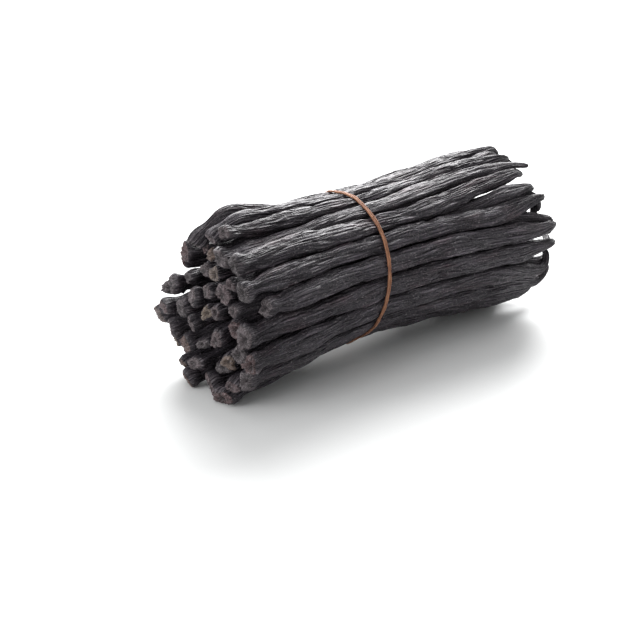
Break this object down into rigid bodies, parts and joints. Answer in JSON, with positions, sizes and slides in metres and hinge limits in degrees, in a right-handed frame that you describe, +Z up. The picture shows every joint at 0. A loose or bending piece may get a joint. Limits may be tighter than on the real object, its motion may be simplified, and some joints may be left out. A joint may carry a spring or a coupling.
{
  "type": "bundle of vanilla pods",
  "caption": "Bundle of cured vanilla pods held together by a thin plant-fibre tie, lying on its side, for a kitchen, pantry or spice stall.",
  "frame": {"origin": "centre of the bounding box in X and Y, on the surface that the bundle rests on", "axes": "+X along the pods, from their cut butt ends to their hooked tips; +Z up; -Y is the side shown"},
  "size_m": [0.1589, 0.0666, 0.0661],
  "materials": {
    "pod_skin": "dark, oily, finely wrinkled cured pod skin",
    "tie_fibre": "dry bast fibre, tan to brown, slightly twisted"
  },
  "bodies": {
    "root": {"pod_bundle": "pod_skin", "tie": "tie_fibre"}
  },
  "joints": []
}
